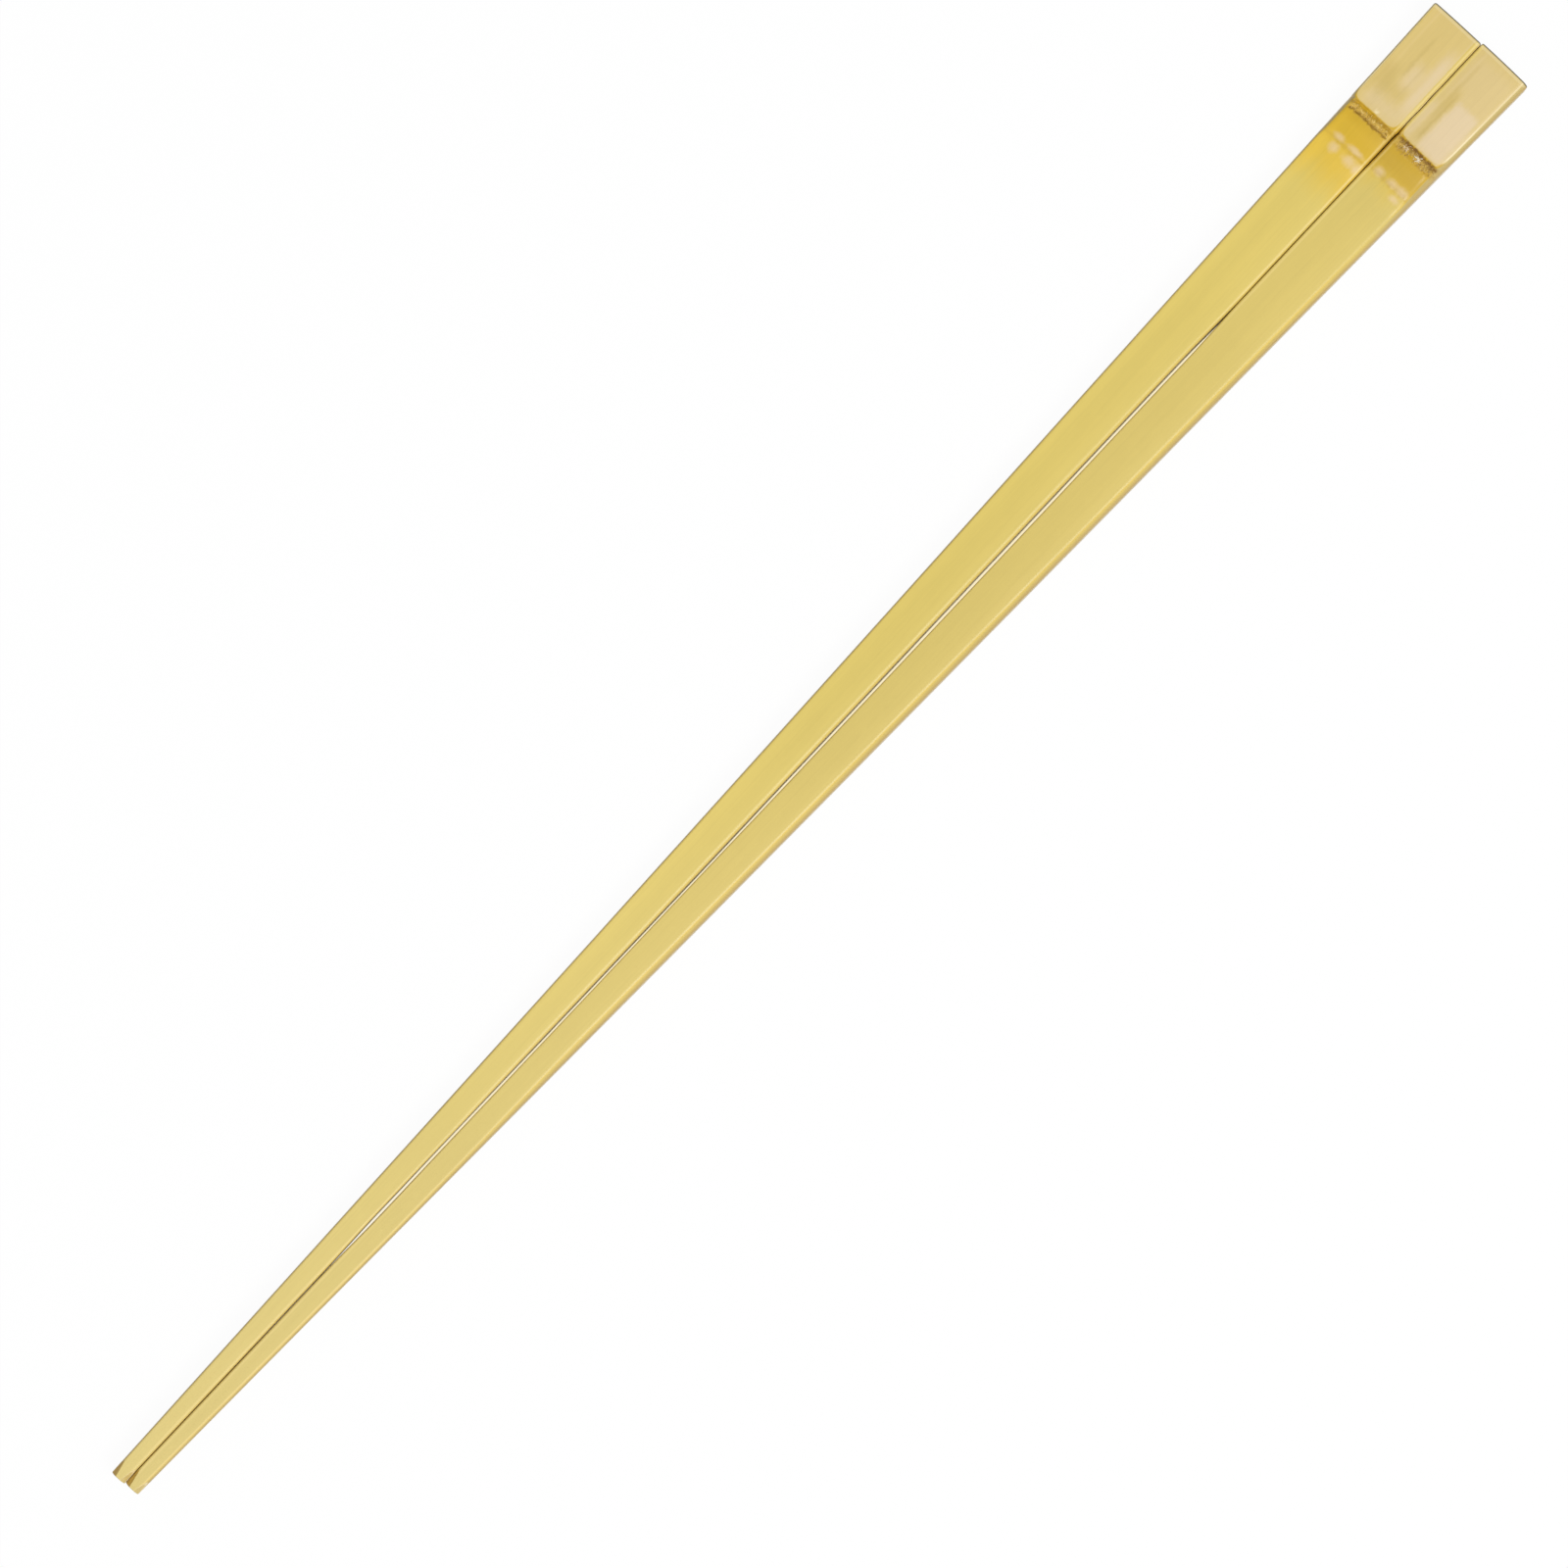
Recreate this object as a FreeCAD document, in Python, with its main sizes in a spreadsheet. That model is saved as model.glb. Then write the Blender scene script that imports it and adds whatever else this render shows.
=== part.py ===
# A pair of disposable bamboo chopsticks, laid side by side as they leave their wrapper.
#
# Both sticks come from the same strip of bamboo, so the ring of the cane crosses them
# at the same place, a little below their square heads. Each stick is one piece of
# cane: the face that shows is the outside of the cane, and the underside, planed flat,
# is what it lies on. The last stretch is thinned from below, so the tips clear the
# table. The sticks touch near their heads and near their tips, and a hair of daylight
# shows between them along the middle, where both are planed hollow.
#
# The frame: +X runs from the tips to the heads, +Z is up, and the two inner faces meet
# on the XZ plane. The origin is under the middle of the pair, on the surface below it.
# All sizes are in millimetres.
import FreeCAD, Part
import math
import os

import Sketcher

SIZES = {
    # The planed stick, before anything is cut into it.
    "stick_length": 240.0,
    "head_width": 7.6,
    "tip_width": 2.05,
    "body_thickness": 5.0,
    "edge_radius": 0.45,
    "head_rim_radius": 0.25,
    # The thinned end: parallel near the tip, then one long S-curve to the full thickness.
    "tip_thickness": 1.8,
    "tip_land_length": 20.0,
    "thinned_length": 94.0,
    # The cane's ring: how far its crest is from the head, and the low swelling there, which
    # stands on the face by its rise and runs down into the stick by its root.
    "ring_from_head": 18.0,
    "swelling_rise": 0.3,
    "swelling_root": 0.6,
    "swelling_radius": 45.0,
    "swelling_blend_radius": 12.0,
    # The smooth golden band just behind the crest, on its tip side.
    "band_behind_ring": 0.4,
    "band_depth": 0.1,
    "band_radius": 14.0,
    # The rough scar that the sheath leaves: a steep wall towards the head, a slope to the band.
    "scar_ahead_of_ring": 2.75,
    "scar_wall_run": 0.15,
    "scar_floor_run": 0.6,
    "scar_slope_run": 0.85,
    "scar_depth": 0.3,
    # How far the ring's marks sit off that place on each stick.
    "left_ring_shift": 0.05,
    "right_ring_shift": 0.25,
    # The hollow in each inner face, measured from the tip.
    "hollow_start": 42.0,
    "hollow_floor_start": 138.0,
    "hollow_floor_end": 160.0,
    "hollow_end": 194.0,
    "hollow_depth": 0.18,
    # The tip, ground to a blunt cone: its radius at the end, and where it clears the corners.
    "grind_length": 3.4,
    "grind_end_radius": 0.94,
    "grind_full_radius": 1.37,
    # How the two lie: the space between their inner faces, and how far one has slid.
    "resting_gap": 0.04,
    "slid_apart": 0.2,
    # Spare stock round the blank, and air round the cutters.
    "saw_allowance": 1.0,
}

doc = FreeCAD.newDocument("bamboo_chopsticks")
sheet = doc.addObject("Spreadsheet::Sheet", "sizes")
for row, (alias, size) in enumerate(SIZES.items(), start=1):
    sheet.set(f"A{row}", alias)
    sheet.set(f"B{row}", str(size))
    sheet.setAlias(f"B{row}", alias)
doc.recompute()

# Half the angle between a stick's two sides, which is how far each stick is turned
# for its inner face to run along the X axis.
HALF_TAPER = "atan((sizes.head_width - sizes.tip_width) / (2 * sizes.stick_length))"

SMALL = 1e-6


def half_width_at(along):
    """Half a stick's width at a distance from the tip, both as expressions."""
    taper = f"(sizes.head_width - sizes.tip_width) * ({along}) / sizes.stick_length"
    return f"(sizes.tip_width + {taper}) / 2"


def new_sketch(body, name, plane):
    sketch = body.newObject("Sketcher::SketchObject", name)
    origin_plane = next(f for f in body.Origin.OriginFeatures if f.Role == plane)
    sketch.AttachmentSupport = (origin_plane, [""])
    sketch.MapMode = "FlatFace"
    return sketch


def pin_point(sketch, edge, end, across, up):
    """Holds one end (or the centre) of an edge at a place given by two expressions."""
    for kind, axis, expression in (("DistanceX", -2, across), ("DistanceY", -1, up)):
        if expression == "0":
            sketch.addConstraint(Sketcher.Constraint("PointOnObject", edge, end, axis))
            continue
        place = sketch.evalExpression(expression)
        index = sketch.addConstraint(Sketcher.Constraint(kind, -1, 1, edge, end, place))
        sketch.setExpression(f"Constraints[{index}]", expression)


def point_at(sketch, across, up):
    return FreeCAD.Vector(sketch.evalExpression(across), sketch.evalExpression(up), 0)


def draw_lines(sketch, corners):
    """Straight edges from corner to corner, each corner held by its two expressions."""
    points = [point_at(sketch, across, up) for across, up in corners]
    edges = [
        sketch.addGeometry(Part.LineSegment(start, end), False)
        for start, end in zip(points, points[1:])
    ]
    for edge, following in zip(edges, edges[1:]):
        sketch.addConstraint(Sketcher.Constraint("Coincident", edge, 2, following, 1))
    for edge, (across, up) in zip(edges, corners):
        pin_point(sketch, edge, 1, across, up)
    return edges


def draw_polygon(sketch, corners):
    """A closed outline of straight edges."""
    edges = draw_lines(sketch, corners + corners[:1])
    sketch.addConstraint(Sketcher.Constraint("Coincident", edges[-1], 2, edges[0], 1))


def draw_arc(sketch, centre, radius, first_angle, last_angle):
    """An arc drawn anticlockwise, so that its point 1 is at the first angle."""
    circle = Part.Circle(centre, FreeCAD.Vector(0, 0, 1), radius)
    return sketch.addGeometry(Part.ArcOfCircle(circle, first_angle, last_angle), False)


def draw_circle(sketch, across, up, radius):
    """A circle held by the expressions for its centre and radius."""
    centre = point_at(sketch, across, up)
    size = sketch.evalExpression(radius)
    edge = sketch.addGeometry(Part.Circle(centre, FreeCAD.Vector(0, 0, 1), size), False)
    pin_point(sketch, edge, 3, across, up)
    index = sketch.addConstraint(Sketcher.Constraint("Radius", edge, size))
    sketch.setExpression(f"Constraints[{index}]", radius)


def edge_names(shape, wanted):
    """The names of the shape's edges that a test picks out."""
    return [f"Edge{n}" for n, edge in enumerate(shape.Edges, start=1) if wanted(edge)]


def bends_across_top(shape):
    """The straight lines across the outside face, away from the ends."""
    def is_bend(edge):
        ends = [vertex.Point for vertex in edge.Vertexes]
        straight_across = len(ends) == 2 and abs(ends[0].x - ends[1].x) < SMALL \
            and abs(ends[0].z - ends[1].z) < SMALL
        inside = SMALL < ends[0].x < sheet.stick_length - SMALL
        return straight_across and inside and ends[0].z > sheet.body_thickness - SMALL

    return edge_names(shape, is_bend)


def pad_across(body, sketch, name):
    """Pads a side outline to the blank's whole width, half to each side."""
    pad = body.newObject("PartDesign::Pad", name)
    pad.Profile = sketch
    pad.SideType = "Symmetric"
    pad.setExpression("Length", "sizes.head_width + 2 * sizes.saw_allowance")
    return pad


def cut_through(body, sketch, name):
    """Pockets an outline right through the stick, both ways."""
    pocket = body.newObject("PartDesign::Pocket", name)
    pocket.Profile = sketch
    pocket.Type = "ThroughAll"
    pocket.SideType = "Symmetric"
    return pocket


def round_edges(body, base, edges, name, radius):
    fillet = body.newObject("PartDesign::Fillet", name)
    fillet.Base = (base, edges)
    fillet.setExpression("Radius", radius)
    return fillet


def saw_blank(body):
    """The strip from the side: straight on top, and thinned from below towards the tip.

    The thinned underside is an S-curve of two equal arcs that meet half way, level where
    they leave the flat underside and where they reach the parallel tip. For a rise and a
    run, that makes their radius (run^2 + rise^2) / (4 * rise).
    """
    rise = "(sizes.body_thickness - sizes.tip_thickness)"
    sketch = new_sketch(body, "blank_outline", "XZ_Plane")
    lines = draw_lines(sketch, [
        ("sizes.thinned_length", "0"),
        ("sizes.stick_length", "0"),
        ("sizes.stick_length", "sizes.body_thickness"),
        ("0", "sizes.body_thickness"),
        ("0", rise),
        ("sizes.tip_land_length", rise),
    ])
    pin_point(sketch, lines[-1], 2, "sizes.tip_land_length", rise)

    land_end = point_at(sketch, "sizes.tip_land_length", rise)
    flat_start = point_at(sketch, "sizes.thinned_length", "0")
    run = flat_start.x - land_end.x
    drop = land_end.y
    radius = (run ** 2 + drop ** 2) / (4 * drop)
    sweep = math.asin(run / 2 / radius)
    up = FreeCAD.Vector(0, radius, 0)
    upper = draw_arc(sketch, land_end - up, radius, math.pi / 2 - sweep, math.pi / 2)
    lower = draw_arc(sketch, flat_start + up, radius, 3 * math.pi / 2 - sweep, 3 * math.pi / 2)
    for edge, end, arc, centre_along in (
        (lines[-1], 2, upper, "sizes.tip_land_length"),
        (lines[0], 1, lower, "sizes.thinned_length"),
    ):
        sketch.addConstraint(Sketcher.Constraint("Coincident", edge, end, arc, 2))
        place = sketch.evalExpression(centre_along)
        index = sketch.addConstraint(Sketcher.Constraint("DistanceX", -1, 1, arc, 3, place))
        sketch.setExpression(f"Constraints[{index}]", centre_along)
    sketch.addConstraint(Sketcher.Constraint("Equal", upper, lower))
    sketch.addConstraint(Sketcher.Constraint("Tangent", upper, 1, lower, 1))
    pad_across(body, sketch, "blank")


def grow_swelling(body, ring_from_tip):
    """The low round back that the cane's ring raises across the outside face.

    Its outline is an arc above a chord sunk into the blank. The two lines where the arc
    leaves the face are then softened by a wide blend.
    """
    centre_up = "sizes.body_thickness + sizes.swelling_rise - sizes.swelling_radius"
    chord_up = "sizes.body_thickness - sizes.swelling_root"
    sketch = new_sketch(body, "swelling_outline", "XZ_Plane")
    centre = point_at(sketch, ring_from_tip, centre_up)
    radius = sketch.evalExpression("sizes.swelling_radius")
    chord_height = sketch.evalExpression(chord_up)
    sweep = math.acos((chord_height - centre.y) / radius)
    reach = radius * math.sin(sweep)
    headward = FreeCAD.Vector(centre.x + reach, chord_height, 0)
    tipward = FreeCAD.Vector(centre.x - reach, chord_height, 0)
    arc = draw_arc(sketch, centre, radius, math.pi / 2 - sweep, math.pi / 2 + sweep)
    chord = sketch.addGeometry(Part.LineSegment(tipward, headward), False)
    sketch.addConstraint(Sketcher.Constraint("Coincident", arc, 2, chord, 1))
    sketch.addConstraint(Sketcher.Constraint("Coincident", arc, 1, chord, 2))
    sketch.addConstraint(Sketcher.Constraint("Horizontal", chord))
    pin_point(sketch, arc, 3, ring_from_tip, centre_up)
    bound = sketch.addConstraint(Sketcher.Constraint("Radius", arc, radius))
    sketch.setExpression(f"Constraints[{bound}]", "sizes.swelling_radius")
    level = sketch.addConstraint(
        Sketcher.Constraint("DistanceY", -1, 1, chord, 1, chord_height)
    )
    sketch.setExpression(f"Constraints[{level}]", chord_up)
    swelling = pad_across(body, sketch, "swelling")
    doc.recompute()
    bends = bends_across_top(swelling.Shape)
    round_edges(body, swelling, bends, "swelling_blend", "sizes.swelling_blend_radius")


def plane_sides(body):
    """Planes both sides away evenly, from the full width at the head to the tip's width."""
    outside = "(sizes.head_width / 2 + sizes.saw_allowance)"
    sketch = new_sketch(body, "side_shavings", "XY_Plane")
    for side in ("", "-"):
        draw_polygon(sketch, [
            ("0", f"{side}sizes.tip_width / 2"),
            ("sizes.stick_length", f"{side}sizes.head_width / 2"),
            ("sizes.stick_length", f"{side}{outside}"),
            ("0", f"{side}{outside}"),
        ])
    return cut_through(body, sketch, "planed_sides")


def soften_edges(body, planed):
    """Tumbling rounds the four long edges, and then the rim of the square head."""
    doc.recompute()

    def runs_along(edge):
        ends = [vertex.Point for vertex in edge.Vertexes]
        along, across, up = (abs(c) for c in ends[0] - ends[1])
        return along > across and along > up

    long_edges = edge_names(planed.Shape, runs_along)
    softened = round_edges(body, planed, long_edges, "long_edges", "sizes.edge_radius")
    doc.recompute()

    def on_head_face(edge):
        return all(abs(v.Point.x - sheet.stick_length) < SMALL for v in edge.Vertexes)

    rim = edge_names(softened.Shape, on_head_face)
    round_edges(body, softened, rim, "head_rim", "sizes.head_rim_radius")


def cut_ring_marks(body, ring_from_tip):
    """The golden band, a wide shallow dip, and the sheath's scar, a ragged step beside it."""
    crest = "(sizes.body_thickness + sizes.swelling_rise)"
    band = new_sketch(body, "band_outline", "XZ_Plane")
    draw_circle(
        band,
        f"{ring_from_tip} - sizes.band_behind_ring",
        f"{crest} - sizes.band_depth + sizes.band_radius",
        "sizes.band_radius",
    )
    cut_through(body, band, "golden_band")

    wall_top = f"({ring_from_tip} + sizes.scar_ahead_of_ring)"
    wall_foot = f"({wall_top} - sizes.scar_wall_run)"
    slope_foot = f"({wall_foot} - sizes.scar_floor_run)"
    slope_top = f"({slope_foot} - sizes.scar_slope_run)"
    floor_up = f"{crest} - sizes.scar_depth"
    above = f"{crest} + sizes.saw_allowance"
    scar = new_sketch(body, "scar_outline", "XZ_Plane")
    draw_polygon(scar, [
        (slope_foot, floor_up),
        (wall_foot, floor_up),
        (wall_top, crest),
        (wall_top, above),
        (slope_top, above),
        (slope_top, crest),
    ])
    cut_through(body, scar, "sheath_scar")


def hollow_inner_face(body, inner_sign):
    """Planes the face that meets the other stick a hair hollow between its two ends."""
    face_at_start = f"{inner_sign}{half_width_at('sizes.hollow_start')}"
    face_at_end = f"{inner_sign}{half_width_at('sizes.hollow_end')}"
    floor_at_start = f"{inner_sign}({half_width_at('sizes.hollow_floor_start')} - sizes.hollow_depth)"
    floor_at_end = f"{inner_sign}({half_width_at('sizes.hollow_floor_end')} - sizes.hollow_depth)"
    outside = f"{inner_sign}(sizes.head_width / 2 + sizes.saw_allowance)"
    sketch = new_sketch(body, "hollow_outline", "XY_Plane")
    draw_polygon(sketch, [
        ("sizes.hollow_start", face_at_start),
        ("sizes.hollow_floor_start", floor_at_start),
        ("sizes.hollow_floor_end", floor_at_end),
        ("sizes.hollow_end", face_at_end),
        ("sizes.hollow_end", outside),
        ("sizes.hollow_start", outside),
    ])
    cut_through(body, sketch, "inner_hollow")


def grind_tip(body):
    """Turns the last stretch to a blunt cone, which leaves a pointed facet on each corner."""
    axis_up = "(sizes.body_thickness - sizes.tip_thickness / 2)"
    sketch = new_sketch(body, "grind_outline", "XZ_Plane")
    draw_polygon(sketch, [
        ("0", f"{axis_up} + sizes.grind_end_radius"),
        ("sizes.grind_length", f"{axis_up} + sizes.grind_full_radius"),
        ("0", f"{axis_up} + sizes.grind_full_radius + sizes.saw_allowance"),
    ])
    start = point_at(sketch, "0", axis_up)
    end = point_at(sketch, "sizes.grind_length", axis_up)
    axis = sketch.addGeometry(Part.LineSegment(start, end), True)
    pin_point(sketch, axis, 1, "0", axis_up)
    pin_point(sketch, axis, 2, "sizes.grind_length", axis_up)
    grind = body.newObject("PartDesign::Groove", "ground_tip")
    grind.Profile = sketch
    grind.ReferenceAxis = (sketch, ["Axis0"])
    grind.Angle = 360


def lay_down(body, side):
    """Turns a stick by half its taper and lays its inner face beside the XZ plane."""
    sign = "" if side > 0 else "-"
    body.Placement = FreeCAD.Placement(
        FreeCAD.Vector(0, 0, 0), FreeCAD.Rotation(FreeCAD.Vector(0, 0, 1), side)
    )
    half_length = f"sizes.stick_length / (2 * cos({HALF_TAPER}))"
    slid = f"{-side} * sizes.slid_apart / 2"
    body.setExpression("Placement.Base.x", f"-{half_length} + {slid}")
    beside = f"sizes.resting_gap / 2 + sizes.tip_width / 2 * cos({HALF_TAPER})"
    body.setExpression("Placement.Base.y", f"{sign}({beside})")
    body.setExpression("Placement.Rotation.Angle", f"{sign}{HALF_TAPER}")


def make_chopstick(name, side, shift):
    """One stick. side is +1 for the one that lies towards +Y, and -1 for the other."""
    body = doc.addObject("PartDesign::Body", name)
    body.Label = name
    ring_from_tip = f"(sizes.stick_length - sizes.ring_from_head + {shift})"
    saw_blank(body)
    grow_swelling(body, ring_from_tip)
    planed = plane_sides(body)
    soften_edges(body, planed)
    cut_ring_marks(body, ring_from_tip)
    hollow_inner_face(body, "-" if side > 0 else "")
    grind_tip(body)
    lay_down(body, side)
    return body


chopsticks = [
    make_chopstick("left_chopstick", 1, "sizes.left_ring_shift"),
    make_chopstick("right_chopstick", -1, "sizes.right_ring_shift"),
]
doc.recompute()

for item in doc.Objects:
    if "Invalid" in item.State or "Error" in item.State:
        raise RuntimeError(f"{item.Name} failed: {item.State}")

os.makedirs("parts", exist_ok=True)
for body in chopsticks:
    shape = body.Shape
    if shape.isNull() or not shape.isValid() or len(shape.Solids) != 1:
        raise RuntimeError(f"{body.Label} is not one sound solid")
    print(body.Label, "volume", round(shape.Volume, 2), shape.BoundBox)
    shape.exportStep(os.path.join("parts", f"{body.Label}.step"))
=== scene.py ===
"""A pair of disposable bamboo chopsticks, lying side by side with the cane's outside face up.

Sizes are in millimetres, as on a drawing of one stick: x runs from the tip's end (0) to the head's
end (240), y across the stick and z up from the surface that it lies on. A stick's points become
metres when it is laid down beside the other.
"""
import math

import bpy
import numpy as np
from mathutils import Matrix, Vector


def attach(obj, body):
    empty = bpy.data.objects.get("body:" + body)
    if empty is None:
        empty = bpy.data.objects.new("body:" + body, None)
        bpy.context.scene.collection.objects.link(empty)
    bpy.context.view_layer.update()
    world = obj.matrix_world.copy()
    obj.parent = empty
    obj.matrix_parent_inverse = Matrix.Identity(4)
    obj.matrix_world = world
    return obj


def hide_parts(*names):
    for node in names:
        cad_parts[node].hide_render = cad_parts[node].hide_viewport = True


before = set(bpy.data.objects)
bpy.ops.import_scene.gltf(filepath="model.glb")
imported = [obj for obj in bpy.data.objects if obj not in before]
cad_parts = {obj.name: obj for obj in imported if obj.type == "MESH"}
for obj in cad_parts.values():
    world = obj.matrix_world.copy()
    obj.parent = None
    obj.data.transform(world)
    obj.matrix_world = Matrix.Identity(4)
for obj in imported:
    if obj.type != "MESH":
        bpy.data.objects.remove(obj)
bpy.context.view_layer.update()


# The left stick's blank. A strip of cane 240 mm long is sawn so that it tapers evenly in plan, from
# 7.6 mm at the head to 2 mm at the tip, and is planed thinner from below over its last 94 mm.
MM = 0.001
STICK_LENGTH = 240.0
HEAD_WIDTH = 7.6
TIP_WIDTH = 2.05
TOP_FACE = 5.0
TIP_UNDERSIDE = 3.2
THINNED_FROM = 94.0
TIP_LAND = 20.0
RESTING_GAP = 0.04
SLID_APART = 0.2
HALF_ANGLE = math.atan((HEAD_WIDTH - TIP_WIDTH) / (2.0 * STICK_LENGTH))


def eased(x, stations, values):
    """Value at x, going from one station's value to the next's as 3u^2 - 2u^3, level at both."""
    stations = np.asarray(stations, float)
    values = np.asarray(values, float)
    before = np.clip(np.searchsorted(stations, x, side="right") - 1, 0, len(stations) - 2)
    run = stations[before + 1] - stations[before]
    u = np.clip((x - stations[before]) / run, 0.0, 1.0)
    return values[before] + (values[before + 1] - values[before]) * u * u * (3.0 - 2.0 * u)


def half_width(x):
    """Half of the blank's width: a straight taper from tip to head."""
    return 0.5 * (TIP_WIDTH + (HEAD_WIDTH - TIP_WIDTH) * x / STICK_LENGTH)


def underside(x):
    """Height of the planed underside: two equal arcs that meet half way between land and body."""
    half_run = 0.5 * (THINNED_FROM - TIP_LAND)
    half_rise = 0.5 * TIP_UNDERSIDE
    radius = (half_run ** 2 + half_rise ** 2) / (2.0 * half_rise)
    from_land = np.clip(x - TIP_LAND, 0.0, half_run)
    from_body = np.clip(THINNED_FROM - x, 0.0, half_run)
    near_land = TIP_UNDERSIDE - (radius - np.sqrt(radius ** 2 - from_land ** 2))
    near_body = radius - np.sqrt(radius ** 2 - from_body ** 2)
    return np.where(x < TIP_LAND + half_run, near_land, near_body)


# The cane's ring on the left stick, 18 mm from the head: the outside face swells by 0.3 mm, sinks a
# little behind the ring, and is torn where the sheath came off. Beyond it a clean panel begins.
LEFT_RING = 222.05
LEFT_SEED = 11
CROWN_RADIUS = 34.0
SWELLING_RISE = 0.3
SWELLING_RADIUS = 45.0
SWELLING_FOOT = 0.03
BAND_DEPTH = 0.1
BAND_RADIUS = 14.0
BAND_FOOT = 0.02
BAND_BEHIND_RING = 0.4
GROOVE_BEHIND_RING = 2.6
GROOVE_DEPTH = 0.022
GROOVE_WIDTH = 0.2
SCAR_END = 2.75
SCAR_ROUGHNESS = 0.08
LATTICE = 128
UP_AND_DOWN = (0.0, 1.0, 1.0, 0.0)
LEFT_SCAR = ((1.2, 1.5, 1.8, 2.05, 2.5, SCAR_END), (0.0, 0.24, 0.16, 0.08, 0.22, 0.0))


def scatter(x, y, cell_x, cell_y, seed):
    """Value noise from -1 to 1: random heights on a lattice, joined by 3u^2 - 2u^3 both ways."""
    lattice = np.random.default_rng(seed).uniform(-1.0, 1.0, (LATTICE, LATTICE))
    across, along = np.floor(x / cell_x), np.floor(y / cell_y)
    u, v = x / cell_x - across, y / cell_y - along
    u, v = u * u * (3.0 - 2.0 * u), v * v * (3.0 - 2.0 * v)
    i, j = across.astype(int) % LATTICE, along.astype(int) % LATTICE
    k, m = (i + 1) % LATTICE, (j + 1) % LATTICE
    near = lattice[i, j] * (1.0 - u) + lattice[k, j] * u
    far = lattice[i, m] * (1.0 - u) + lattice[k, m] * u
    return near * (1.0 - v) + far * v


def outside_face(x, y, ring, scar, seed):
    """Height of the top face, how torn it is, and how deep the tear is.

    The cane's own roundness, y^2 / 2R; a swelling with a round crest, its foot softened by half of
    h + sqrt(h^2 + k^2); a shallow round dip behind the ring; a hairline groove; and the scar, which
    dies out towards both edges and whose troughs wander with y. scar gives how far beyond the ring
    its troughs and crests lie, and how deep each is.
    """
    d = x - ring
    swelling = SWELLING_RISE - d ** 2 / (2.0 * SWELLING_RADIUS)
    swelling = 0.5 * (swelling + np.sqrt(swelling ** 2 + SWELLING_FOOT ** 2))
    dip = BAND_DEPTH - (d + BAND_BEHIND_RING) ** 2 / (2.0 * BAND_RADIUS)
    dip = 0.5 * (dip + np.sqrt(dip ** 2 + BAND_FOOT ** 2))
    wander = 0.16 * scatter(y, x * 0.0, 1.1, 1.0, seed)
    wander = wander + 0.10 * scatter(y, x * 0.0, 0.28, 1.0, seed + 1)
    groove = GROOVE_DEPTH * np.exp(-((d + GROOVE_BEHIND_RING + 1.5 * wander) / GROOVE_WIDTH) ** 2)
    to_edge = half_width(x) - np.abs(y) + 0.25 * scatter(x, y, 0.35, 0.35, seed + 4)
    inside = eased(to_edge, (0.3, 0.9), (0.0, 1.0))
    places, depths = scar
    calm = eased(d, (places[0], places[-2], places[-1]), (1.0, 0.6, 0.0))
    wandered = d + wander * calm
    depth = inside * eased(wandered, places, depths)
    torn = inside * eased(wandered + 0.12 * scatter(x, y, 0.3, 0.25, seed + 5),
                          (places[0] - 0.25, places[0] + 0.25, SCAR_END - 0.15, SCAR_END + 0.06),
                          UP_AND_DOWN)
    rough = 0.6 * scatter(x, y, 0.17, 0.15, seed + 2) + 0.4 * scatter(x, y, 0.35, 0.09, seed + 3)
    sunk = depth - SCAR_ROUGHNESS * torn * rough
    height = TOP_FACE - y ** 2 / (2.0 * CROWN_RADIUS) + swelling - dip - groove - sunk
    return height, torn, sunk


# The left stick itself: the blank with its edges rounded over, its inner face planed slightly
# hollow, four flats ground on its tip against a belt, and both ends broken with a fine radius.
TIP_RIM = 0.12
HEAD_RIM = 0.3
RIM_DROP = 2.6
GRIND_LENGTH = 3.4
GRIND_SLOPE = math.radians(50.0)
GRIND_END_FLAT = 0.3
GRIND_START = 0.56
GRIND_SOFTNESS = 0.012
TIP_MIDDLE = 4.1
TIP_HALF_THICKNESS = 0.9
BOTTOM_EDGE = 0.42
SHARPEST_EDGE = 0.02
EDGE_WIDTHS_AT = (42.0, 80.0, 184.0, 200.0)
EDGE_DEPTHS_AT = (42.0, 60.0, 186.0, 200.0)
HOLLOW_AT = (8.0, 35.0, 45.0, 66.0, 98.0, 122.0, 150.0, 187.0, 197.5)
HOLLOW_DEPTHS = (-0.016, 0.0, 0.14, 0.145, 0.13, 0.165, 0.19, 0.17, -0.016)
LEFT_DEEPER = 0.035
LEFT_DEEPER_AT = (45.0, 60.0, 180.0, 195.0)
SEAM_WAVE = 0.03
SEAM_WAVE_AT = (222.0, 225.0, 232.0, 237.0)
SEAM_WAVE_TURN = 1.5
COMMON_BOW = 0.1
ARC_POINTS = 9
TOP_POINTS = 70
SIDE_POINTS = 18
BOTTOM_POINTS = 22


def girth():
    """The points round a section: four corner arcs, joined by four straight runs.

    Gives for each point the corner it leaves, the corner it heads for, how far it is between them,
    and the direction, across and up, in which it stands off by the corner's radius.
    """
    leave, share, angle = [], [], []
    for corner, run_points in enumerate((TOP_POINTS, SIDE_POINTS, BOTTOM_POINTS, SIDE_POINTS)):
        arc = np.linspace(0.0, 90.0, ARC_POINTS)[:-1] + 90.0 * corner
        run = np.linspace(0.0, 1.0, run_points + 1)[:-1]
        leave.append(np.full(len(arc) + len(run), corner))
        share.append(np.concatenate((np.zeros(len(arc)), run)))
        angle.append(np.concatenate((arc, np.full(len(run), 90.0 * (corner + 1)))))
    leave, share = np.concatenate(leave), np.concatenate(share)
    angle = np.radians(np.concatenate(angle))
    return leave, (leave + 1) % 4, share, np.cos(angle), np.sin(angle)


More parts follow.
